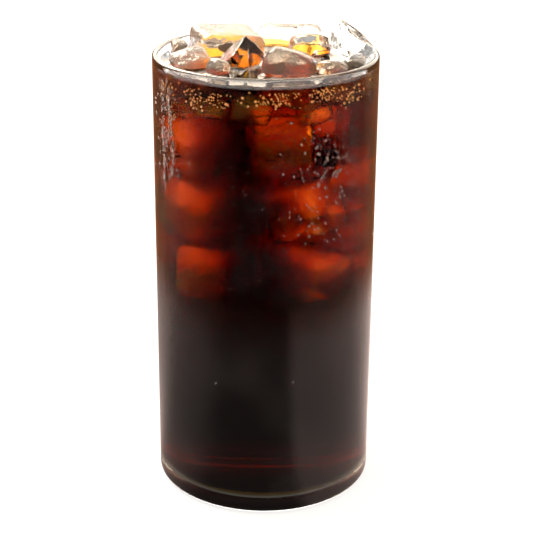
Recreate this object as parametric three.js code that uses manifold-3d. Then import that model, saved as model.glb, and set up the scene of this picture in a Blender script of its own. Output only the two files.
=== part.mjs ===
// A tall straight tumbler filled almost to the brim with cold brew coffee and ice.
// Millimetres, +Z up, origin at the centre of the underside of the glass.
import * as THREE from 'three';
import { mergeVertices } from 'three/addons/utils/BufferGeometryUtils.js';
import Module from 'manifold-3d';

// Driving dimensions of the glass
const GLASS_RADIUS = 37;
const GLASS_HEIGHT = 151;
const WALL = 2.1;
const BASE_THICKNESS = 4.6;
const FOOT_ROUND = 3;
const INNER_ROUND = 5;
const FOOT_RING_WIDTH = 4.5;
const FOOT_RECESS = 0.8;
const GLASS_SEGMENTS = 64;
const ROUND_STEPS = 3;

// Driving dimensions of the drink
const COFFEE_LEVEL = GLASS_HEIGHT - 3.4;
const MENISCUS_RISE = 0.7;
const MENISCUS_WIDTH = 1.8;
const GAP = 0.3;
const BLOCK_STEPS = 5;
const MELT_WAVE = 0.27;

const wasm = await Module();
wasm.setup();

const glassMaterial = new THREE.MeshStandardMaterial({
  color: 0xf2f4f4,
  roughness: 0.05,
  metalness: 0,
  transparent: true,
  opacity: 0.3,
});
const coffeeMaterial = new THREE.MeshStandardMaterial({ color: 0x3a0d02, roughness: 0.08, metalness: 0 });
const iceMaterial = new THREE.MeshStandardMaterial({
  color: 0xf3e6da,
  roughness: 0.1,
  metalness: 0,
  transparent: true,
  opacity: 0.7,
});

// Points along a circular arc in a lathe profile, angles in degrees from the outward direction.
function arc(radius, height, round, fromDegrees, toDegrees, steps = ROUND_STEPS) {
  const points = [];
  for (let i = 0; i <= steps; i += 1) {
    const angle = THREE.MathUtils.degToRad(fromDegrees + ((toDegrees - fromDegrees) * i) / steps);
    points.push(new THREE.Vector2(radius + round * Math.cos(angle), height + round * Math.sin(angle)));
  }
  return points;
}

// A profile of radius and height is turned round the upright Z axis.
function turned(profile) {
  const geometry = new THREE.LatheGeometry(profile, GLASS_SEGMENTS);
  geometry.rotateX(Math.PI / 2);
  return geometry;
}

// A closed three.js geometry becomes a solid that can be cut.
function toSolid(geometry, matrix = new THREE.Matrix4()) {
  const shell = geometry.clone().applyMatrix4(matrix);
  shell.deleteAttribute('normal');
  shell.deleteAttribute('uv');
  const merged = mergeVertices(shell, 1e-4);
  return new wasm.Manifold(new wasm.Mesh({
    numProp: 3,
    vertProperties: new Float32Array(merged.attributes.position.array),
    triVerts: new Uint32Array(merged.index.array),
  }));
}

function toGeometry(solid) {
  const cut = solid.getMesh();
  const geometry = new THREE.BufferGeometry();
  geometry.setAttribute('position', new THREE.BufferAttribute(cut.vertProperties, 3));
  geometry.setIndex(new THREE.BufferAttribute(cut.triVerts, 1));
  geometry.computeVertexNormals();
  return geometry;
}

function named(geometry, material, name) {
  const mesh = new THREE.Mesh(geometry, material);
  mesh.name = name;
  return mesh;
}

// The glass: an even thin wall, a fire-polished round rim, a small round at the foot and a
// shallow recess underneath, so that it stands on a flat ring.
function glassGeometry() {
  const innerRadius = GLASS_RADIUS - WALL;
  const rimRound = WALL / 2;
  const ringInner = GLASS_RADIUS - FOOT_ROUND - FOOT_RING_WIDTH;
  const profile = [
    new THREE.Vector2(0, FOOT_RECESS),
    new THREE.Vector2(ringInner - 2 * FOOT_RECESS, FOOT_RECESS),
    new THREE.Vector2(ringInner, 0),
    ...arc(GLASS_RADIUS - FOOT_ROUND, FOOT_ROUND, FOOT_ROUND, -90, 0),
    ...arc(GLASS_RADIUS - rimRound, GLASS_HEIGHT - rimRound, rimRound, 0, 180, 2 * ROUND_STEPS),
    ...arc(innerRadius - INNER_ROUND, BASE_THICKNESS + INNER_ROUND, INNER_ROUND, 0, -90),
    new THREE.Vector2(0, BASE_THICKNESS),
  ];
  return turned(profile);
}

// The drink fills the glass to its level and climbs the wall a little as a meniscus.
function drinkGeometry() {
  const drinkRadius = GLASS_RADIUS - WALL - GAP;
  const floorRound = INNER_ROUND - GAP;
  const profile = [
    new THREE.Vector2(0, BASE_THICKNESS + GAP),
    ...arc(drinkRadius - floorRound, BASE_THICKNESS + GAP + floorRound, floorRound, -90, 0),
    new THREE.Vector2(drinkRadius, COFFEE_LEVEL + MENISCUS_RISE),
    new THREE.Vector2(drinkRadius - MENISCUS_WIDTH / 3, COFFEE_LEVEL + MENISCUS_RISE / 3),
    new THREE.Vector2(drinkRadius - MENISCUS_WIDTH, COFFEE_LEVEL),
    new THREE.Vector2(0, COFFEE_LEVEL),
  ];
  return turned(profile);
}

// A block of ice: a box with rounded edges, narrower towards one end as it left its mould, with
// faces that melting has made slightly wavy. A skin above zero makes the hollow it floats in.
function iceGeometry({ size, round, taper, wave }, skin = 0) {
  const geometry = new THREE.BoxGeometry(2, 2, 2, BLOCK_STEPS, BLOCK_STEPS, BLOCK_STEPS);
  const position = geometry.attributes.position;
  const half = new THREE.Vector3(...size).multiplyScalar(0.5);
  const core = half.clone().subScalar(round);
  const point = new THREE.Vector3();
  const inner = new THREE.Vector3();
  for (let i = 0; i < position.count; i += 1) {
    point.fromBufferAttribute(position, i);
    for (const axis of ['x', 'y', 'z']) {
      point[axis] = Math.sin((point[axis] * Math.PI) / 2) * half[axis];
    }
    inner.copy(point).clamp(core.clone().negate(), core);
    point.sub(inner).setLength(round + skin).add(inner);
    const narrowing = 1 - (taper * (point.z + half.z)) / (2 * half.z);
    const melt = 1 + wave * Math.sin(MELT_WAVE * (point.x + 2 * point.y) + size[0])
      * Math.cos(MELT_WAVE * (point.y + point.z) + size[2]);
    point.x *= narrowing * melt;
    point.y *= narrowing * melt;
    position.setXYZ(i, point.x, point.y, point.z);
  }
  return geometry;
}

// Every block at the surface: its size, edge round, taper, waviness, the place of its middle, and its
// turn in degrees: it leans about X and rolls about Y, then heads about the upright Z.
const ICE_BLOCKS = {
  ice_back_left: {
    size: [23, 18, 21], round: 3, taper: 0.04, wave: 0.03, middle: [-14, 15.4, 144.8], turn: [6, 6, 24],
  },
  ice_back: {
    size: [23, 8.5, 18], round: 2.6, taper: 0.06, wave: 0.04, middle: [8.4, 26.9, 145.2], turn: [2, -3, -13],
  },
  ice_right_back: {
    size: [12, 12, 16], round: 2.6, taper: 0.1, wave: 0.04, middle: [14.2, 12.2, 146.2], turn: [-12, 12, 34],
  },
  ice_right_corner: {
    size: [10.2, 11, 8.6], round: 1, taper: -0.2, wave: 0.02, middle: [27.6, 3.2, 153], turn: [10, 36, 14],
  },
  ice_front_right: {
    size: [11, 7, 12], round: 2.2, taper: 0.1, wave: 0.05, middle: [29, -8.4, 145.8], turn: [4, -6, 73],
  },
  ice_right_front: {
    size: [10, 8, 13], round: 2.4, taper: 0.1, wave: 0.05, middle: [21.1, -16.2, 145.4], turn: [-14, 14, 40],
  },
  ice_front_centre: {
    size: [18, 16, 18], round: 4.6, taper: 0.1, wave: 0.05, middle: [7, -13, 145.8], turn: [-12, 14, -8],
  },
  ice_centre: {
    size: [10, 12, 12], round: 1, taper: 0.05, wave: 0.02, middle: [-8.4, -2.7, 148.2], turn: [30, 50, -26],
  },
  ice_left_front: {
    size: [13, 12, 15], round: 2.2, taper: 0.08, wave: 0.04, middle: [-23.4, -5.8, 145], turn: [16, -14, 24],
  },
  ice_front_chip: {
    size: [6.5, 7, 11], round: 1.8, taper: 0.1, wave: 0.05, middle: [-15.8, -16.4, 147], turn: [8, 18, 30],
  },
  ice_left_chip: {
    size: [6, 8.5, 12], round: 1.8, taper: 0.1, wave: 0.05, middle: [-29.2, 6.8, 147.2], turn: [4, 8, 10],
  },
};

function iceMatrix({ middle, turn }) {
  const angles = new THREE.Euler(...turn.map(THREE.MathUtils.degToRad), 'ZXY');
  return new THREE.Matrix4().makeRotationFromEuler(angles).setPosition(...middle);
}

const group = new THREE.Group();
group.add(named(glassGeometry(), glassMaterial, 'glass'));

let drink = toSolid(drinkGeometry());
for (const [name, block] of Object.entries(ICE_BLOCKS)) {
  const matrix = iceMatrix(block);
  const mesh = named(iceGeometry(block), iceMaterial, name);
  mesh.applyMatrix4(matrix);
  group.add(mesh);
  drink = drink.subtract(toSolid(iceGeometry(block, GAP), matrix));
}
group.add(named(toGeometry(drink), coffeeMaterial, 'coffee'));

export default group;
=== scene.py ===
# %% [markdown]
# # Cold brew coffee over ice, in a tall straight glass
# The drink is built round a fixed frame: the glass, the coffee and every block of ice that breaks the
# surface already have their places and sizes there. This script gives each of them its fine surface,
# adds what is sunk in the drink, and makes glass, coffee and ice look like themselves.

# %% Load the frame
import math
import random

import bmesh
import bpy
from mathutils import Euler, Matrix, Vector, noise
from mathutils.bvhtree import BVHTree


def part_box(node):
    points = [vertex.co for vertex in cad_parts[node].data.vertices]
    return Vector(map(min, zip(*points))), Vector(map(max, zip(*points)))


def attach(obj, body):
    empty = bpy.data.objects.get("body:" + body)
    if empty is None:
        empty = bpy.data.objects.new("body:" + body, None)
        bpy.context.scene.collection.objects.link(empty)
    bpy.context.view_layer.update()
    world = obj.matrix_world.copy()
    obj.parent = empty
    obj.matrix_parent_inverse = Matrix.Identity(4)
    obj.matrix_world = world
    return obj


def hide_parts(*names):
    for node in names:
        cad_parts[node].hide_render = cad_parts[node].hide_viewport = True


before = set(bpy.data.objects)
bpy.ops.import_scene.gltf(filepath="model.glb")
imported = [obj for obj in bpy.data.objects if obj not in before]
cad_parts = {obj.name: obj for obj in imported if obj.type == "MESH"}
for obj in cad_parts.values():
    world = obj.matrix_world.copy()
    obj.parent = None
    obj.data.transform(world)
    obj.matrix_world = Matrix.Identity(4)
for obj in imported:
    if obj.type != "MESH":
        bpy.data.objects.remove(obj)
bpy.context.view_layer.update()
print("frame nodes:", sorted(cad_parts))

# %% [markdown]
# ## Sizes
# Everything is worked out from the boxes of the frame's own nodes. The coffee's solid keeps a small gap to
# the wall, so the inside of the glass is that gap outside the coffee. Lengths are in metres, and points
# closer together than a HAIR count as one.

# %% Sizes from the frame
MM = 0.001
HAIR = 1e-6
SOLID_GAP = 0.3 * MM
GLASS_LOW, GLASS_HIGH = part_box("glass")
COFFEE_LOW, COFFEE_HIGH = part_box("coffee")
OUTER_RADIUS = GLASS_HIGH.x
RIM_HEIGHT = GLASS_HIGH.z
INNER_RADIUS = COFFEE_HIGH.x + SOLID_GAP
INNER_FLOOR = COFFEE_LOW.z - SOLID_GAP
MENISCUS_RISE = 0.7 * MM
COFFEE_LEVEL = COFFEE_HIGH.z - MENISCUS_RISE
WALL = OUTER_RADIUS - INNER_RADIUS
print(f"glass {2 * OUTER_RADIUS / MM:.1f} mm across, {RIM_HEIGHT / MM:.1f} mm tall")
print(f"wall {WALL / MM:.1f} mm")
print(f"coffee level {COFFEE_LEVEL / MM:.1f} mm, inner floor {INNER_FLOOR / MM:.1f} mm")

# %% [markdown]
# ## Small helpers
# A piece is a mesh object at the origin with its place in its vertices. It rides on the frame's one body,
# takes the finish it is given, and may stand for a node of the frame, which it then hides.
# Smooth shading with edges split only where the surface really turns keeps liquid and glass clean.

# %% Helpers for pieces
SHARP_ANGLE = math.radians(40)


def finish_piece(name, mesh, material, replaced=()):
    """Link a mesh as a piece that rides on the body, shaded smooth except at true edges."""
    mesh.name = name
    for polygon in mesh.polygons:
        polygon.use_smooth = True
    mesh.set_sharp_from_angle(angle=SHARP_ANGLE)
    mesh.materials.clear()
    mesh.materials.append(material)
    piece = bpy.data.objects.new(name, mesh)
    bpy.context.scene.collection.objects.link(piece)
    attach(piece, "root")
    if replaced:
        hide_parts(*replaced)
    print(f"{name}: {len(mesh.vertices)} vertices, {len(mesh.polygons)} faces")
    return piece


def mesh_from(bm, name="shape"):
    """A new mesh from a bmesh, which is freed."""
    mesh = bpy.data.meshes.new(name)
    bm.to_mesh(mesh)
    bm.free()
    return mesh


def with_modifiers(mesh, add_modifiers):
    """The mesh after modifiers that add_modifiers puts on a passing object."""
    passing = bpy.data.objects.new("passing", mesh)
    bpy.context.scene.collection.objects.link(passing)
    add_modifiers(passing)
    graph = bpy.context.evaluated_depsgraph_get()
    result = bpy.data.meshes.new_from_object(passing.evaluated_get(graph))
    bpy.data.objects.remove(passing)
    return result


# %% [markdown]
# ## Turned shapes
# Glass and drink are both round, so each starts as a few points of its half outline, drawn from the axis
# outwards, and is spun once round the upright axis. The last step of a full spin is merged with the first,
# and the points on the axis are merged into one pole. Corners stay sharp until a bevel rounds their rings.

# %% Spin an outline
ROUND_THE_AXIS = 192


def spun(outline, steps=ROUND_THE_AXIS):
    """A closed shape turned round Z from (radius, height) points that start and end on the axis."""
    bm = bmesh.new()
    points = [bm.verts.new((radius, 0, height)) for radius, height in outline]
    for low, high in zip(points, points[1:]):
        bm.edges.new((low, high))
    bmesh.ops.spin(
        bm,
        geom=bm.verts[:] + bm.edges[:],
        cent=(0, 0, 0),
        axis=(0, 0, 1),
        angle=math.tau,
        steps=steps,
        use_merge=True,
        use_duplicate=False,
    )
    bmesh.ops.remove_doubles(bm, verts=bm.verts, dist=1e-7)
    bmesh.ops.dissolve_degenerate(bm, edges=bm.edges, dist=1e-8)
    bmesh.ops.recalc_face_normals(bm, faces=bm.faces)
    return bm


def round_ring(bm, radius, height, width, segments):
    """Round the ring of edges that lies at one radius and height."""
    ring = [
        edge for edge in bm.edges
        if all(abs(math.hypot(v.co.x, v.co.y) - radius) < 1e-5 and abs(v.co.z - height) < 1e-5
               for v in edge.verts)
    ]
    bmesh.ops.bevel(
        bm,
        geom=ring,
        offset=width,
        affect="EDGES",
        segments=segments,
        profile=0.5,
        material=-1,
        clamp_overlap=True,
    )


# %% [markdown]
# ## Noise that any finish can use
# One node group gives an even-sized noise in millimetres of the real thing, with contrast, so that every
# material can ask for blotches or grain of a stated size. It only puts out a value.

# %% Node group for noise of a real size
NOISE_DETAIL = 3
NOISE_DARKEST = 0.35
NOISE_BRIGHTEST = 0.65


def noise_group():
    """Build the group once: a size and two ends go in, one value comes out."""
    group = bpy.data.node_groups.new("real size noise", "ShaderNodeTree")
    group.interface.new_socket("Size mm", in_out="INPUT", socket_type="NodeSocketFloat")
    group.interface.new_socket("Low", in_out="INPUT", socket_type="NodeSocketFloat")
    group.interface.new_socket("High", in_out="INPUT", socket_type="NodeSocketFloat")
    group.interface.new_socket("Value", in_out="OUTPUT", socket_type="NodeSocketFloat")
    nodes, links = group.nodes, group.links
    given = nodes.new("NodeGroupInput")
    place = nodes.new("ShaderNodeTexCoord")
    per_mm = nodes.new("ShaderNodeMath")
    per_mm.operation = "DIVIDE"
    per_mm.inputs[0].default_value = 1 / MM
    grain = nodes.new("ShaderNodeTexNoise")
    grain.inputs["Detail"].default_value = NOISE_DETAIL
    spread = nodes.new("ShaderNodeMapRange")
    spread.inputs["From Min"].default_value = NOISE_DARKEST
    spread.inputs["From Max"].default_value = NOISE_BRIGHTEST
    out = nodes.new("NodeGroupOutput")
    links.new(given.outputs["Size mm"], per_mm.inputs[1])
    links.new(place.outputs["Object"], grain.inputs["Vector"])
    links.new(per_mm.outputs[0], grain.inputs["Scale"])
    links.new(grain.outputs["Fac"], spread.inputs["Value"])
    links.new(given.outputs["Low"], spread.inputs["To Min"])
    links.new(given.outputs["High"], spread.inputs["To Max"])
    links.new(spread.outputs["Result"], out.inputs["Value"])
    return group


NOISE = noise_group()


def noise_node(tree, size_mm, low, high):
    """Place the group in a material, with its own size in millimetres and its own two ends."""
    node = tree.nodes.new("ShaderNodeGroup")
    node.node_tree = NOISE
    node.inputs["Size mm"].default_value = size_mm
    node.inputs["Low"].default_value = low
    node.inputs["High"].default_value = high
    return node


# %% [markdown]
# ## What the clear finishes share
# Glass, drink, ice and dew are all see-through, so they start from one material that bends light. Sums of
# values are built by one helper. The last two tell where a point of a piece lies and keep the shine to the
# parts of a surface that meet air.

# %% Helpers for clear finishes


def clear_material(name, ior, tint=(1, 1, 1)):
    """A see-through material: the shader that bends light, ready for its own details."""
    material = bpy.data.materials.new(name)
    material.use_nodes = True
    shader = material.node_tree.nodes["Principled BSDF"]
    shader.inputs["Base Color"].default_value = (*tint, 1)
    shader.inputs["IOR"].default_value = ior
    shader.inputs["Transmission Weight"].default_value = 1
    shader.inputs["Roughness"].default_value = 0
    return material, material.node_tree, shader


def reckon(tree, operation, first, second):
    """One sum, product, maximum or comparison of two values, each a number or a node's output."""
    node = tree.nodes.new("ShaderNodeMath")
    node.operation = operation
    for socket, value in zip(node.inputs, (first, second)):
        if isinstance(value, (int, float)):
            socket.default_value = value
        else:
            tree.links.new(value, socket)
    return node.outputs["Value"]


def height_and_radius(tree):
    """Where a point lies: how high, and how far from the upright axis."""
    place = tree.nodes.new("ShaderNodeTexCoord")
    split = tree.nodes.new("ShaderNodeSeparateXYZ")
    tree.links.new(place.outputs["Object"], split.inputs["Vector"])
    squares = [reckon(tree, "MULTIPLY", split.outputs[axis], split.outputs[axis]) for axis in "XY"]
    return split.outputs["Z"], reckon(tree, "SQRT", reckon(tree, "ADD", *squares), 0)


def shine_only_where(tree, shader, mask):
    """Let a surface mirror the room only where it meets air, not where two wet bodies meet."""
    shine = tree.nodes.new("ShaderNodeMix")
    shine.data_type = "RGBA"
    shine.inputs["A"].default_value = (0, 0, 0, 1)
    shine.inputs["B"].default_value = (1, 1, 1, 1)
    tree.links.new(mask, shine.inputs["Factor"])
    tree.links.new(shine.outputs["Result"], shader.inputs["Specular Tint"])


# %% [markdown]
# ## The glass
# A pressed tumbler with an even thin wall, a melted round rim and a small round at the foot.
# Its finish is clear glass with a very fine uneven roughness. Where drink wets the wall there is no air, so
# almost nothing is mirrored there: a mask by height and radius turns the specular tint black on the inside,
# below the level of the drink.

# %% Glass finish
GLASS_IOR = 1.5
HAZE_SIZE_MM = 14
HAZE_MOST = 0.006
glass_finish, tree, shader = clear_material("clear tumbler glass", GLASS_IOR)
haze = noise_node(tree, HAZE_SIZE_MM, 0, HAZE_MOST)
tree.links.new(haze.outputs["Value"], shader.inputs["Roughness"])
height, radius = height_and_radius(tree)
outside = reckon(tree, "GREATER_THAN", radius, INNER_RADIUS + WALL / 2)
underneath = reckon(tree, "LESS_THAN", height, INNER_FLOOR / 2)
above_drink = reckon(tree, "GREATER_THAN", height, COFFEE_LEVEL)
dry = reckon(tree, "MAXIMUM", reckon(tree, "MAXIMUM", outside, underneath), above_drink)
shine_only_where(tree, shader, dry)

# %% Glass shape
RIM_ROUND = 0.499 * WALL
FOOT_ROUND = 3 * MM
FLOOR_ROUND = 5 * MM
FOOT_RECESS = 0.8 * MM
FOOT_RING_INNER = OUTER_RADIUS - FOOT_ROUND - 4.5 * MM

tumbler = spun([
    (0, FOOT_RECESS),
    (FOOT_RING_INNER - 2 * FOOT_RECESS, FOOT_RECESS),
    (FOOT_RING_INNER, 0),
    (OUTER_RADIUS, 0),
    (OUTER_RADIUS, RIM_HEIGHT),
    (INNER_RADIUS, RIM_HEIGHT),
    (INNER_RADIUS, INNER_FLOOR),
    (0, INNER_FLOOR),
])
round_ring(tumbler, OUTER_RADIUS, 0, FOOT_ROUND, 8)
round_ring(tumbler, OUTER_RADIUS, RIM_HEIGHT, RIM_ROUND, 6)
round_ring(tumbler, INNER_RADIUS, RIM_HEIGHT, RIM_ROUND, 6)
round_ring(tumbler, INNER_RADIUS, INNER_FLOOR, FLOOR_ROUND, 10)
round_ring(tumbler, FOOT_RING_INNER, 0, FOOT_RECESS / 2, 3)
finish_piece("tumbler", mesh_from(tumbler), glass_finish, ["glass"])

# %% [markdown]
# ## Ice
# Ice for drinks is clear in one place and milky in another, where the last water to freeze trapped its air.
# So there are three finishes of the same build: clear ice lets all light through, and hazy and cloudy ice
# scatter a part of it as cream white. All are wet, with ripples from melting and patches of fine frost.
# Each block that breaks the surface takes its place and shape from its node: a copy of the node's mesh is
# merged, given an even skin by a voxel remesh, softened, and then waved by noise along its normals.

# %% Ice finishes
ICE_IOR = 1.31
FROST_SIZE_MM = 4
RIPPLE_STRENGTH = 0.5


def ice_finish(name, tint, clearness, frost_low, frost_high, ripple_mm, ripple_depth):
    """Wet ice, with frost that comes and goes and ripples of a stated size and depth."""
    material, tree, shader = clear_material(name, ICE_IOR, tint)
    shader.inputs["Transmission Weight"].default_value = clearness
    frost = noise_node(tree, FROST_SIZE_MM, frost_low, frost_high)
    tree.links.new(frost.outputs["Value"], shader.inputs["Roughness"])
    ripples = noise_node(tree, ripple_mm, 0, 1)
    bump = tree.nodes.new("ShaderNodeBump")
    bump.inputs["Strength"].default_value = RIPPLE_STRENGTH
    bump.inputs["Distance"].default_value = ripple_depth * MM
    tree.links.new(ripples.outputs["Value"], bump.inputs["Height"])
    tree.links.new(bump.outputs["Normal"], shader.inputs["Normal"])
    return material


clear_ice = ice_finish("wet clear ice", (1, 0.96, 0.9), 1.0, 0.0, 0.02, 2.4, 0.12)
hazy_ice = ice_finish("wet hazy ice", (1.0, 0.87, 0.74), 0.93, 0.0, 0.04, 2.2, 0.3)
cloudy_ice = ice_finish("wet cloudy ice", (1.0, 0.84, 0.7), 0.84, 0.0, 0.08, 2.0, 0.3)

# %% Melting
FINE_WAVES = 4
FINE_SHARE = 0.2


def melted(bm, skin, softening, wave, wave_size):
    """Remesh to an even skin, soften the edges, and wave the faces."""
    def even_skin(passing):
        remesh = passing.modifiers.new("even skin", "REMESH")
        remesh.mode = "VOXEL"
        remesh.voxel_size = skin

    even = with_modifiers(mesh_from(bm), even_skin)
    soft = bmesh.new()
    soft.from_mesh(even)
    for _ in range(softening):
        bmesh.ops.smooth_vert(
            soft, verts=soft.verts, factor=0.5, use_axis_x=True, use_axis_y=True, use_axis_z=True)
    soft.normal_update()
    moves = []
    for vert in soft.verts:
        broad = noise.noise(vert.co / wave_size)
        fine = noise.noise(FINE_WAVES * vert.co / wave_size)
        moves.append(vert.normal * (wave * broad + FINE_SHARE * wave * fine))
    for vert, move in zip(soft.verts, moves):
        vert.co += move
    soft.normal_update()
    return soft


# %% Blocks at the surface
SKIN = 0.55 * MM
WAVE = 0.5 * MM
SOFTENINGS = 2
WAVE_SIZE = 7 * MM
surface_blocks = {}
for node in sorted(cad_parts):
    if not node.startswith("ice_"):
        continue
    copy = bmesh.new()
    copy.from_mesh(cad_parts[node].data)
    bmesh.ops.remove_doubles(copy, verts=copy.verts, dist=HAIR)
    surface_blocks[node] = melted(copy, SKIN, SOFTENINGS, WAVE, WAVE_SIZE)
print("blocks at the surface:", len(surface_blocks))

# %% [markdown]
# ## Cracks and bubbles in the ice
# Fast frozen ice cracks as it warms. A crack is a thin sheet of air, and its two skins mirror light from
# deep inside the block. Here each crack is a ball pressed flat, and each bubble a small round ball, with
# their faces turned inwards, because they bound the ice from within. A ball that would touch the skin of
# its block, or a ball before it, is left out.

# %% Hollow balls
HOLLOW_COVER = 0.2 * MM
random.seed(11)


def ball(bm, middle, radii, turn, subdivisions):
    """Add a ball pressed to three radii, turned, with its faces outwards."""
    made = bmesh.ops.create_icosphere(bm, subdivisions=subdivisions, radius=1)
    place = Matrix.Translation(middle) @ turn.to_matrix().to_4x4() @ Matrix.Diagonal((*radii, 1))
    bmesh.ops.transform(bm, matrix=place, verts=made["verts"])


def any_turn():
    """A turn drawn at random."""
    return Euler([random.uniform(0, math.tau) for _ in range(3)])


def add_hollow(block, room, skin, others, radii, turn, subdivisions):
    """Try to put one hollow ball somewhere inside a block; say whether it fitted."""
    middle = Vector([random.uniform(*ends) for ends in room])
    spot, normal, _, distance = skin.find_nearest(middle)
    if (middle - spot).dot(normal) > 0 or distance < min(radii) + HOLLOW_COVER:
        return False
    hollow = bmesh.new()
    ball(hollow, middle, radii, turn, subdivisions)
    tree = BVHTree.FromBMesh(hollow)
    fits = not tree.overlap(skin) and not any(tree.overlap(other) for other in others)
    if fits:
        others.append(tree)
        bmesh.ops.reverse_faces(hollow, faces=hollow.faces)
        passing = mesh_from(hollow)
        block.from_mesh(passing)
        bpy.data.meshes.remove(passing)
    else:
        hollow.free()
    return fits


# %% Cracks and bubbles for one block
CRACK_WIDTHS = (1.6, 4.2)
CRACK_SHORTER = (0.5, 0.9)
CRACK_THINNESS = 0.06
BUBBLE_RADII = (0.12, 0.4)
TRIES = 12


def crack_block(block, cracks, bubbles):
    """Fill a block with hollow cracks and bubbles, and count those that found room."""
    skin = BVHTree.FromBMesh(block)
    room = [(min(v.co[axis] for v in block.verts), max(v.co[axis] for v in block.verts)) for axis in range(3)]
    others = []
    made = 0
    for i in range(cracks + bubbles):
        if i < cracks:
            width = random.uniform(*CRACK_WIDTHS) * MM
            radii = (width, width * random.uniform(*CRACK_SHORTER), CRACK_THINNESS * width)
            subdivisions = 3
        else:
            radii = (random.uniform(*BUBBLE_RADII) * MM,) * 3
            subdivisions = 2
        turn = any_turn()
        tries = 0
        while tries < TRIES and not add_hollow(block, room, skin, others, radii, turn, subdivisions):
            tries += 1
        made += tries < TRIES
    return made


# %% Crack the surface blocks
CRACKS = 5
BUBBLES = 12
surface_skins = {node: BVHTree.FromBMesh(block) for node, block in surface_blocks.items()}
cut_blocks_at = {node: block.copy() for node, block in surface_blocks.items()}
for node, block in surface_blocks.items():
    print(node, "hollows:", crack_block(block, CRACKS, BUBBLES))

# %% [markdown]
# ## Ice below the surface
# Under the floating blocks lie whole cubes, three rough layers deep, held down by the ones above, with a few
# small chips near the surface at the front. Each is a cube with bevelled edges, turned and leaned a little,
# and melted like the others. They lean toward the wall and leave a shaft of plain coffee left of the middle,
# so the drink is bright beside it and dark in it. They hold small bubbles, but no cracks.

# %% Sunk cubes
SUNK_SKIN = 0.9 * MM
SUNK_WAVE = 1.0 * MM
SUNK_WAVE_SIZE = 11 * MM
SUNK_EDGE = 0.15
SUNK_BUBBLES = 8
WALL_ROOM = 0.2 * MM
# width, depth and height, distance from the axis, direction (0 is +X, 90 is away), height, turns in degrees
SUNK_CUBES = [
    ((16, 18, 18), 21.5, 198, 123, (6, 8, 12)),
    ((16, 16, 16), 21.0, 139, 122, (-16, 12, 35)),
    ((21, 21, 20), 20.5, 71, 124, (6, -8, 10)),
    ((17, 18, 15), 21.0, 283, 126, (6, 8, -8)),
    ((13, 15, 9), 2.0, 0, 130.5, (6, -8, 12)),
    ((11, 14, 11), 16.5, -4, 129, (-8, 6, 10)),
    ((7, 10, 6), 29.3, 300, 138, (10, 5, 8)),
    ((7, 12, 8), 29.3, 262, 139.5, (-8, 10, -6)),
    ((7, 10, 7), 29.3, 238, 139, (5, -10, 10)),
    ((7, 11, 6), 28.6, 216, 136.5, (8, -6, -5)),
    ((15, 14, 15), 24.0, 0, 113, (-6, 10, 15)),
    ((16, 18, 19), 21.5, 206, 101, (-10, -6, 20)),
    ((16, 17, 16), 21.0, 138, 101, (14, -12, 25)),
    ((21, 20, 17), 20.5, 60, 100, (-8, 6, -12)),
    ((18, 18, 18), 21.0, 303, 104, (12, -8, 30)),
    ((11, 10, 13), 2.2, 27, 107, (10, 6, 20)),
    ((13, 13, 12), 24.0, 358, 95.5, (8, -12, 5)),
    ((17, 17, 18), 21.0, 214, 80, (8, -10, 40)),
    ((16, 16, 15), 21.0, 133, 78.5, (-12, 14, 10)),
    ((19, 19, 18), 20.5, 54, 79, (8, 8, 20)),
    ((18, 17, 16), 21.0, 312, 81.5, (-12, 6, 8)),
    ((14, 12, 12), 4.5, 20, 86, (10, -12, 50)),
    ((11, 11, 12), 24.8, -3, 77, (10, 10, 10)),
]


def sunk_cube(sizes, distance, direction, height, turns):
    """One melted cube at its place: its sizes and height in mm, its direction and turns in degrees."""
    bm = bmesh.new()
    bmesh.ops.create_cube(bm, size=1)
    bmesh.ops.scale(bm, vec=Vector(sizes) * MM, verts=bm.verts)
    bmesh.ops.bevel(
        bm,
        geom=bm.edges[:],
        offset=SUNK_EDGE * min(sizes) * MM,
        affect="EDGES",
        segments=4,
        profile=0.5,
        material=-1,
    )
    around = math.radians(direction)
    middle = Vector((distance * math.cos(around), distance * math.sin(around), height)) * MM
    lean = Euler([math.radians(angle) for angle in turns], "ZYX").to_matrix()
    turn = (Matrix.Rotation(around, 3, "Z") @ lean).to_4x4()
    bmesh.ops.transform(bm, matrix=Matrix.Translation(middle) @ turn, verts=bm.verts)
    return melted(bm, SUNK_SKIN, SOFTENINGS, SUNK_WAVE, SUNK_WAVE_SIZE)


sunk_blocks = [sunk_cube(*cube) for cube in SUNK_CUBES]
sunk_hollows = [block.copy() for block in sunk_blocks]
print("sunk pieces:", len(sunk_blocks))

# %% Do the pieces of ice clear each other and the wall
ice_trees = list(surface_skins.values()) + [BVHTree.FromBMesh(block) for block in sunk_blocks]
labels = list(surface_skins) + [f"sunk {i}" for i in range(len(sunk_blocks))]
for i, first in enumerate(ice_trees):
    for j in range(i + 1, len(ice_trees)):
        if first.overlap(ice_trees[j]):
            print("touching:", labels[i], "and", labels[j])
for i, block in enumerate(sunk_blocks):
    reach = max(math.hypot(v.co.x, v.co.y) for v in block.verts)
    if reach > INNER_RADIUS - WALL_ROOM:
        print(f"sunk {i} reaches {reach / MM:.1f} mm of {INNER_RADIUS / MM:.1f}")

# %% Bubbles in the sunk ice
print("bubbles in the sunk ice:", sum(crack_block(block, 0, SUNK_BUBBLES) for block in sunk_blocks))

# %% [markdown]
# ## The coffee
# A liquid is a closed body too. It reaches a hair into the wall of the glass, so light passes from glass to
# coffee with no film of air between. Its top climbs the wall and every block as a meniscus, so the top is
# spun with many narrow rings, and each point rises by its distance to the nearest wall or ice.
# Ice displaces coffee: the blocks at the surface are cut out, and the sunk ones are added as inward-facing
# shells, each a little smaller than its ice, so that the two skins overlap.
# Coffee swallows blue light first, then green, so thin coffee is amber and thick coffee nearly black. Like
# the glass, it mirrors the room only where it meets air, at its top.

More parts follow.
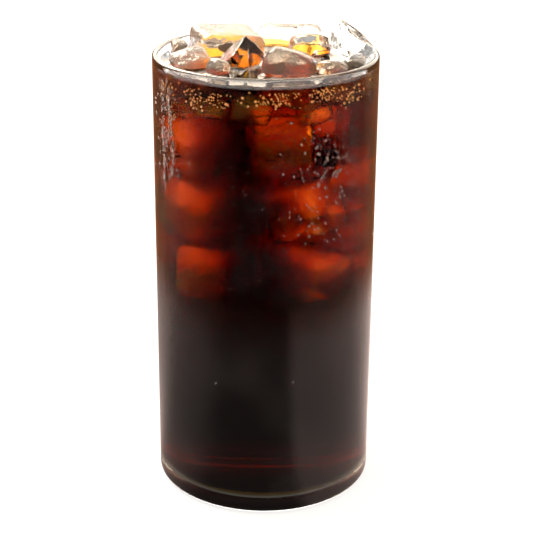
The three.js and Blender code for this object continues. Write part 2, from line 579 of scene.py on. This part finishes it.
# %% Coffee finish
COFFEE_IOR = 1.333
COFFEE_LETS_PASS = (0.936, 0.857, 0.536, 1)
COFFEE_DENSITY = 1400
TOP_BAND = 0.3 * MM
coffee_finish, tree, shader = clear_material("cold brew coffee", COFFEE_IOR)
absorb = tree.nodes.new("ShaderNodeVolumeAbsorption")
absorb.inputs["Color"].default_value = COFFEE_LETS_PASS
absorb.inputs["Density"].default_value = COFFEE_DENSITY
tree.links.new(absorb.outputs["Volume"], tree.nodes["Material Output"].inputs["Volume"])
height, _ = height_and_radius(tree)
shine_only_where(tree, shader, reckon(tree, "GREATER_THAN", height, COFFEE_LEVEL - TOP_BAND))

# %% Coffee shape
INTO_WALL = 0.15 * MM
TOP_RINGS = 56
RISE_REACH = 0.9 * MM
drink_radius = INNER_RADIUS + INTO_WALL
drink_floor = INNER_FLOOR - INTO_WALL
top_line = [(drink_radius * (1 - i / TOP_RINGS), COFFEE_LEVEL) for i in range(TOP_RINGS + 1)]
drink = spun([(0, drink_floor), (drink_radius, drink_floor), *top_line])
round_ring(drink, drink_radius, drink_floor, FLOOR_ROUND, 10)

for vert in drink.verts:
    if vert.co.z < COFFEE_LEVEL - HAIR:
        continue
    near = INNER_RADIUS - math.hypot(vert.co.x, vert.co.y)
    for skin in surface_skins.values():
        spot, normal, _, distance = skin.find_nearest(vert.co)
        inside = (vert.co - spot).dot(normal) < 0
        near = min(near, 0 if inside else distance)
    vert.co.z += MENISCUS_RISE * math.exp(-max(near, 0) / RISE_REACH)
print("coffee before it is cut:", len(drink.verts), "vertices")

# %% Skins a little further in
SKIN_OVERLAP = 0.1 * MM


def shrunk(block, by):
    """A copy whose skin lies a little further in."""
    copy = block.copy()
    copy.normal_update()
    moves = [-by * vert.normal for vert in copy.verts]
    for vert, move in zip(copy.verts, moves):
        vert.co += move
    return copy


def joined(blocks):
    """One bmesh that holds all the given ones, which are kept."""
    whole = bmesh.new()
    for block in blocks:
        part = bpy.data.meshes.new("part")
        block.to_mesh(part)
        whole.from_mesh(part)
        bpy.data.meshes.remove(part)
    return whole


# %% Cut the surface blocks out
cutters = mesh_from(joined([shrunk(block, SKIN_OVERLAP) for block in cut_blocks_at.values()]), "cutters")
cutter = bpy.data.objects.new("cutter", cutters)
bpy.context.scene.collection.objects.link(cutter)


def cut_blocks(passing):
    """The modifier that takes the surface blocks out of the drink."""
    cut = passing.modifiers.new("ice hollows", "BOOLEAN")
    cut.operation = "DIFFERENCE"
    cut.solver = "MANIFOLD"
    cut.object = cutter


drink_mesh = with_modifiers(mesh_from(drink), cut_blocks)
bpy.data.objects.remove(cutter)
drink = bmesh.new()
drink.from_mesh(drink_mesh)
hollows = joined([shrunk(block, SKIN_OVERLAP) for block in sunk_hollows])
print("hollows for sunk ice:", len(hollows.faces), "faces")

# %% [markdown]
# ## Air bubbles in the coffee
# Pouring leaves small bubbles that cling below the surface, close to the wall, in loose clusters. A bubble
# in a liquid is only a hole in it, but so small a hole hardly shows, and what is seen is the tan light that
# So each is a small round bead, tan, with a painted glow mottled dark and bright in place of the light it
# sends back, kept clear of the ice and of other beads.

# %% Bubbles under the surface
ROOM_TO_ICE = 0.25 * MM
ROOM_TO_BUBBLE = 0.1 * MM
BEAD_RADII = (0.18, 0.24, 0.3, 0.42)
random.seed(5)
# middle direction, spread, lowest and highest depth below the surface in mm, how many
BUBBLE_CLUSTERS = [
    (-129, 7, 2, 8.5, 60),
    (-113, 8, 2.5, 7, 40),
    (-84, 11, 1.5, 5.5, 90),
    (-58, 8, 1.2, 5, 60),
    (-40, 9, 1.5, 8, 40),
    (-150, 12, 2, 14, 30),
    (20, 180, 1, 9, 90),
]
bubbles_made = []
for direction, spread, shallow, deep, count in BUBBLE_CLUSTERS:
    for _ in range(count):
        radius = random.choice(BEAD_RADII) * random.uniform(0.8, 1.2) * MM
        around = math.radians(random.gauss(direction, spread / 2))
        from_axis = INNER_RADIUS - radius - abs(random.gauss(0.15, 0.9)) * MM
        middle = Vector((
            from_axis * math.cos(around),
            from_axis * math.sin(around),
            COFFEE_LEVEL - random.uniform(shallow, deep) * MM,
        ))
        clear = ROOM_TO_ICE + radius
        near_ice = False
        for skin in ice_trees:
            spot, normal, _, distance = skin.find_nearest(middle)
            near_ice = near_ice or distance < clear or (middle - spot).dot(normal) < 0
        near_bubble = any(
            (middle - other).length < radius + size + ROOM_TO_BUBBLE for other, size in bubbles_made)
        if not near_ice and not near_bubble:
            bubbles_made.append((middle, radius))
print("bubbles in the coffee:", len(bubbles_made))

# %% Coffee with all its hollows
bmesh.ops.reverse_faces(hollows, faces=hollows.faces)
drink.from_mesh(mesh_from(hollows))
finish_piece("cold_brew", mesh_from(drink), coffee_finish, ["coffee"])

# %% Ice pieces
CLEAR_BLOCKS = ("ice_right_corner", "ice_centre", "ice_right_back")
CLOUDY_BLOCKS = ("ice_back_left", "ice_left_front", "ice_back")
for node, block in surface_blocks.items():
    finish = hazy_ice
    if node in CLEAR_BLOCKS:
        finish = clear_ice
    if node in CLOUDY_BLOCKS:
        finish = cloudy_ice
    finish_piece(node.replace("ice_", "block_"), mesh_from(block), finish, [node])
finish_piece("sunk_cubes", mesh_from(joined(sunk_blocks)), clear_ice)

# %% Bubble beads with a painted glow
# The beads carry painted light: a tan base and an emission glow, mottled dark and bright, stand in for the
# glints a bubble sends back.
BEAD_PAINTED_GLOW = 0.28
BEAD_GLINT_TINT = (0.9, 0.62, 0.38)
GLOW_DARK_END = (0.5, 0.18, 0.04, 1)
GLOW_BRIGHT_END = (1, 0.62, 0.36, 1)
GLOW_MOTTLE_MM = 2
bead_glint_finish, tree, shader = clear_material("tan bubbles, painted glow", COFFEE_IOR, BEAD_GLINT_TINT)
shader.inputs["Transmission Weight"].default_value = 0.4
shader.inputs["Roughness"].default_value = 0.15
shader.inputs["Emission Strength"].default_value = BEAD_PAINTED_GLOW
painted_glow_colour = tree.nodes.new("ShaderNodeMix")
painted_glow_colour.data_type = "RGBA"
painted_glow_colour.inputs["A"].default_value = GLOW_DARK_END
painted_glow_colour.inputs["B"].default_value = GLOW_BRIGHT_END
glow_mottle = noise_node(tree, GLOW_MOTTLE_MM, 0, 1)
tree.links.new(glow_mottle.outputs["Value"], painted_glow_colour.inputs["Factor"])
tree.links.new(painted_glow_colour.outputs["Result"], shader.inputs["Emission Color"])
beads = bmesh.new()
for middle, radius in bubbles_made:
    ball(beads, middle, (radius, radius, radius), Euler(), 2)
finish_piece("coffee_bubbles", mesh_from(beads), bead_glint_finish)

# %% [markdown]
# ## Dew on the glass
# A cold glass draws water from the air. It stands as fine drops that are flat domes on the wall, denser where
# the ice is, and some have run down in short tracks. Each drop is a ball sunk halfway into the wall, with
# the bending power of water. Behind them lies a breath of mist, a thin shell whose alpha follows noise.

# %% Drops
WATER_IOR = 1.333
DEW_TINT = (1, 0.8, 0.68)
DROP_FLATNESS = 0.55
water, _, _ = clear_material("dew", WATER_IOR, DEW_TINT)
random.seed(23)
# middle direction, spread, lowest and highest, how many, smallest and largest radius, all in degrees and mm
DROP_FIELDS = [
    (-62, 18, 96, 138, 90, 0.2, 0.46),
    (-52, 10, 108, 128, 34, 0.25, 0.6),
    (-149, 10, 112, 146, 70, 0.3, 0.7),
    (-90, 50, 20, 140, 60, 0.1, 0.26),
    (90, 170, 30, 142, 160, 0.14, 0.5),
]
# direction in degrees, top and bottom in mm
RUNS = [
    (-147, 146, 126),
    (-152, 143, 118),
    (-144, 133, 115),
    (-149, 128, 110),
    (70, 138, 129),
    (100, 142, 131),
    (148, 130, 122),
]
RUN_RADII = (0.5, 0.95)
RUN_STRETCH = (1.2, 2.6)
RUN_STRAY = 1.2
RUN_STEP = (1.2, 3.4)
drops = bmesh.new()


def drop(direction, height, radius, stretch=1.0):
    """One drop on the wall: direction in degrees, height and radius in mm."""
    around = math.radians(direction)
    middle = Vector((OUTER_RADIUS * math.cos(around), OUTER_RADIUS * math.sin(around), height * MM))
    turn = Euler((0, 0, around))
    ball(drops, middle, (DROP_FLATNESS * radius * MM, radius * MM, stretch * radius * MM), turn, 2)


for direction, spread, low, high, count, small, large in DROP_FIELDS:
    for _ in range(count):
        drop(random.gauss(direction, spread / 2), random.uniform(low, high), random.uniform(small, large))
for direction, top, bottom in RUNS:
    height = top
    while height > bottom:
        radius = random.uniform(*RUN_RADII)
        drop(direction, height, radius, random.uniform(*RUN_STRETCH))
        direction += random.uniform(-RUN_STRAY, RUN_STRAY)
        height -= random.uniform(*RUN_STEP)
finish_piece("dew_drops", mesh_from(drops), water)

# %% Mist
MIST_OUT = 0.08 * MM
MIST_THICK = 0.04 * MM
MIST_LOW = 6 * MM
MIST_HIGH = RIM_HEIGHT - 4 * MM
MIST_PATCH_MM = 26
MIST_ALPHA = 0.003
MIST_COLOUR = (0.85, 0.8, 0.78, 1)
mist_finish = bpy.data.materials.new("breath of mist")
mist_finish.use_nodes = True
tree = mist_finish.node_tree
shader = tree.nodes["Principled BSDF"]
shader.inputs["Base Color"].default_value = MIST_COLOUR
shader.inputs["Roughness"].default_value = 0.6
patches = noise_node(tree, MIST_PATCH_MM, -MIST_ALPHA, MIST_ALPHA)
tree.links.new(patches.outputs["Value"], shader.inputs["Alpha"])
film = spun([
    (0, MIST_LOW),
    (OUTER_RADIUS + MIST_OUT, MIST_LOW),
    (OUTER_RADIUS + MIST_OUT, MIST_HIGH),
    (0, MIST_HIGH),
])
caps = [face for face in film.faces if abs(face.normal.z) > 0.5]
bmesh.ops.delete(film, geom=caps, context="FACES")
bmesh.ops.solidify(film, geom=film.faces[:], thickness=MIST_THICK)
bmesh.ops.recalc_face_normals(film, faces=film.faces)
finish_piece("mist_film", mesh_from(film), mist_finish)

# %% [markdown]
# ## The studio
# A pale table and a soft white room. What a clear drink shows depends on the light behind it and on what
# its wall mirrors, so the two are set apart by the kind of ray. Light that comes through the drink is strong
# and even, less from the viewer's side, and the table carries a painted shadow close round the foot, where a
# full glass shades it. What the glass mirrors is dim below the horizon, with soft bands at the sides, and
# bright above; below the horizon this is painted on the table as a pool of light with bands, and brown
# painted shade beyond.

# %% Light that comes through
THROUGH = 4.5
VIEWER_SIDE = 2.6
# How dark the painted shadow on the table round the foot is, for rays through the drink.
FOOT_SHADE = 0.02
HIGH_SHARE = 0.12
BEHIND_FROM = (0.45, 0.75)
LOW_FRONT = 0.16


def by_kind_of_ray(tree, kind, others, chosen):
    """A shader that is the chosen one for one kind of ray, and the other one for the rest."""
    sight = tree.nodes.new("ShaderNodeLightPath")
    choose = tree.nodes.new("ShaderNodeMixShader")
    tree.links.new(sight.outputs[kind], choose.inputs["Fac"])
    tree.links.new(others, choose.inputs[1])
    tree.links.new(chosen, choose.inputs[2])
    return choose.outputs["Shader"]


def ramp(tree, value, start, end, low, high):
    """A value that goes smoothly from low at start to high at end."""
    node = tree.nodes.new("ShaderNodeMapRange")
    node.interpolation_type = "SMOOTHSTEP"
    node.inputs["From Min"].default_value = min(start, end)
    node.inputs["From Max"].default_value = max(start, end)
    node.inputs["To Min"].default_value = low if start < end else high
    node.inputs["To Max"].default_value = high if start < end else low
    tree.links.new(value, node.inputs["Value"])
    return node.outputs["Result"]


# %% Table
TABLE_SIZE = 6
# Colours and edges of the painted light on the table: a warm pool of light round the glass, brown painted
# shade beyond it, and a painted shadow at the foot.
MIRRORED_TINT = (1, 0.76, 0.68, 1)
FAR_SHADE_TINT = (1, 0.38, 0.16, 1)
POOL_EDGE = (0.16, 0.25)
SHADE_EDGE = (0.045, 0.2)
RIGHT_BAND = 0.55
LEFT_BAND = 0.25
FAR_SIDES = 0.42
TABLE_COLOUR = (0.35, 0.35, 0.35, 1)
TABLE_GLOW = 0.75
bm = bmesh.new()
bmesh.ops.create_grid(bm, x_segments=1, y_segments=1, size=TABLE_SIZE / 2)
table_mesh = mesh_from(bm, "table")
table_finish = bpy.data.materials.new("pale table")
table_finish.use_nodes = True
tree = table_finish.node_tree
shader = tree.nodes["Principled BSDF"]
shader.inputs["Base Color"].default_value = TABLE_COLOUR
shader.inputs["Roughness"].default_value = 0.9
shader.inputs["Specular IOR Level"].default_value = 0
shader.inputs["Emission Color"].default_value = (1, 1, 1, 1)
shader.inputs["Emission Strength"].default_value = TABLE_GLOW
place = tree.nodes.new("ShaderNodeTexCoord")
from_axis = tree.nodes.new("ShaderNodeVectorMath")
from_axis.operation = "LENGTH"
tree.links.new(place.outputs["Object"], from_axis.inputs[0])
outward = tree.nodes.new("ShaderNodeVectorMath")
outward.operation = "NORMALIZE"
tree.links.new(place.outputs["Object"], outward.inputs[0])
split = tree.nodes.new("ShaderNodeSeparateXYZ")
tree.links.new(outward.outputs["Vector"], split.inputs["Vector"])
x, y = split.outputs["X"], split.outputs["Y"]
# Rays that come through the drink see the table as a painted glow, brighter behind, with a painted shadow
# close round the foot.
painted_through_glow = tree.nodes.new("ShaderNodeEmission")
shade = ramp(tree, from_axis.outputs["Value"], *SHADE_EDGE, FOOT_SHADE, 1)
behind = ramp(tree, y, *BEHIND_FROM, VIEWER_SIDE, THROUGH)
tree.links.new(reckon(tree, "MULTIPLY", behind, shade), painted_through_glow.inputs["Strength"])
# Mirror rays see the table as a painted pool of light round the glass with soft painted bands at the sides,
# fading to painted brown shade beyond.
right_band = ramp(tree, x, 0.3, 0.55, 0, RIGHT_BAND)
left_band = ramp(tree, x, -0.6, -0.95, 0, LEFT_BAND)
far_sides = ramp(tree, y, 0.0, 0.7, 0, FAR_SIDES)
bands = reckon(tree, "ADD", right_band, left_band)
pool = ramp(tree, from_axis.outputs["Value"], *POOL_EDGE, 1, 0)
near_light = reckon(tree, "MULTIPLY", reckon(tree, "ADD", bands, LOW_FRONT), pool)
painted_mirror_glow = tree.nodes.new("ShaderNodeEmission")
tree.links.new(reckon(tree, "ADD", near_light, far_sides), painted_mirror_glow.inputs["Strength"])
pool_colour = tree.nodes.new("ShaderNodeMix")
pool_colour.data_type = "RGBA"
pool_colour.inputs["A"].default_value = FAR_SHADE_TINT
pool_colour.inputs["B"].default_value = MIRRORED_TINT
tree.links.new(pool, pool_colour.inputs["Factor"])
tree.links.new(pool_colour.outputs["Result"], painted_mirror_glow.inputs["Color"])
top = by_kind_of_ray(tree, "Is Glossy Ray", shader.outputs["BSDF"], painted_mirror_glow.outputs["Emission"])
top = by_kind_of_ray(tree, "Is Transmission Ray", top, painted_through_glow.outputs["Emission"])
tree.links.new(top, tree.nodes["Material Output"].inputs["Surface"])
table_mesh.materials.append(table_finish)
table = bpy.data.objects.new("table", table_mesh)
bpy.context.scene.collection.objects.link(table)

# %% Room
OVERHEAD = 1.2
BACK_GLOW = 4.2
WINDOW = 22
WINDOW_DIRECTION = Vector((-0.45, 0.62, 0.64)).normalized()
WINDOW_EDGE = (0.93, 0.965)
MIRRORED_ROOM = (1, 0.85, 0.69, 1)
WARM_ROOM = (1, 0.86, 0.7, 1)
WARM_STRENGTH = 1.4
PLAIN_STRENGTH = 1.05
world = bpy.data.worlds.new("soft white room")
bpy.context.scene.world = world
world.use_nodes = True
world.cycles.sampling_method = "NONE"
tree = world.node_tree
direction = tree.nodes.new("ShaderNodeTexCoord")
split = tree.nodes.new("ShaderNodeSeparateXYZ")
tree.links.new(direction.outputs["Generated"], split.inputs["Vector"])
y, z = split.outputs["Y"], split.outputs["Z"]
overhead = ramp(tree, z, 0, 0.2, 0.1, OVERHEAD)
back_glow = reckon(tree, "MULTIPLY", ramp(tree, y, 0.2, 0.8, 0, BACK_GLOW), ramp(tree, z, 0.0, 0.25, 0, 1))
toward_window = tree.nodes.new("ShaderNodeVectorMath")
toward_window.operation = "DOT_PRODUCT"
tree.links.new(direction.outputs["Generated"], toward_window.inputs[0])
toward_window.inputs[1].default_value = WINDOW_DIRECTION
window = ramp(tree, toward_window.outputs["Value"], *WINDOW_EDGE, 0, WINDOW)
mirrored = tree.nodes.new("ShaderNodeBackground")
above = reckon(tree, "ADD", reckon(tree, "ADD", overhead, back_glow), window)
tree.links.new(above, mirrored.inputs["Strength"])
mirrored.inputs["Color"].default_value = MIRRORED_ROOM
through = tree.nodes.new("ShaderNodeBackground")
behind = ramp(tree, y, *BEHIND_FROM, VIEWER_SIDE, THROUGH)
height_share = ramp(tree, z, 0.05, 0.4, 1, HIGH_SHARE)
tree.links.new(reckon(tree, "MULTIPLY", behind, height_share), through.inputs["Strength"])
through.inputs["Color"].default_value = (1, 1, 1, 1)
plain = tree.nodes["Background"]
plain.inputs["Color"].default_value = (1, 1, 1, 1)
plain.inputs["Strength"].default_value = PLAIN_STRENGTH
warm = tree.nodes.new("ShaderNodeBackground")
warm.inputs["Color"].default_value = WARM_ROOM
warm.inputs["Strength"].default_value = WARM_STRENGTH
room = by_kind_of_ray(tree, "Is Diffuse Ray", plain.outputs["Background"], warm.outputs["Background"])
room = by_kind_of_ray(tree, "Is Glossy Ray", room, mirrored.outputs["Background"])
room = by_kind_of_ray(tree, "Is Transmission Ray", room, through.outputs["Background"])
tree.links.new(room, tree.nodes["World Output"].inputs["Surface"])

# %% Soft light from above
LIGHT_SIDE = 0.7
LIGHT_RADIANCE = 6
LIGHT_PLACE = (-0.5, 0.35, 1.0)
light = bpy.data.lights.new("soft light", "AREA")
light.shape = "SQUARE"
light.size = LIGHT_SIDE
light.energy = LIGHT_RADIANCE * math.pi * LIGHT_SIDE ** 2
panel = bpy.data.objects.new("soft light", light)
panel.location = LIGHT_PLACE
panel.rotation_euler = (Vector((0, 0, RIM_HEIGHT)) - panel.location).to_track_quat("-Z", "Y").to_euler()
panel.visible_glossy = False
panel.visible_transmission = False
bpy.context.scene.collection.objects.link(panel)

# %% [markdown]
# ## The camera
# A long lens a little above the glass, looking down so that the rim opens and the ice shows.

# %% Camera
CAMERA_BACK = 472.4 * MM
CAMERA_HEIGHT = 261.4 * MM
CAMERA_PITCH = 0.375
CAMERA_YAW = -0.0025
CAMERA_ROLL = 0.007
CAMERA_LENS = 99.2
CAMERA_SENSOR = 36
camera_data = bpy.data.cameras.new("camera")
camera_data.lens = CAMERA_LENS
camera_data.sensor_width = CAMERA_SENSOR
camera = bpy.data.objects.new("camera", camera_data)
bpy.context.scene.collection.objects.link(camera)
look = (
    Matrix.Rotation(CAMERA_YAW, 4, "Z")
    @ Matrix.Rotation(math.pi / 2 - CAMERA_PITCH, 4, "X")
    @ Matrix.Rotation(CAMERA_ROLL, 4, "Z")
)
camera.matrix_world = Matrix.Translation((0, -CAMERA_BACK, CAMERA_HEIGHT)) @ look
bpy.context.scene.camera = camera
print(f"camera {CAMERA_BACK / MM:.0f} mm back and {CAMERA_HEIGHT / MM:.0f} mm up")

# %% [markdown]
# ## Following the light
# A ray that passes glass, drink and ice crosses many skins before it leaves, so many bounces are allowed.

# %% How light is followed
scene = bpy.context.scene
scene.view_settings.view_transform = "Standard"
scene.cycles.max_bounces = 40
scene.cycles.transmission_bounces = 40
scene.cycles.glossy_bounces = 12
scene.cycles.transparent_max_bounces = 24
scene.cycles.use_denoising = True
scene.cycles.denoiser = "OPENIMAGEDENOISE"
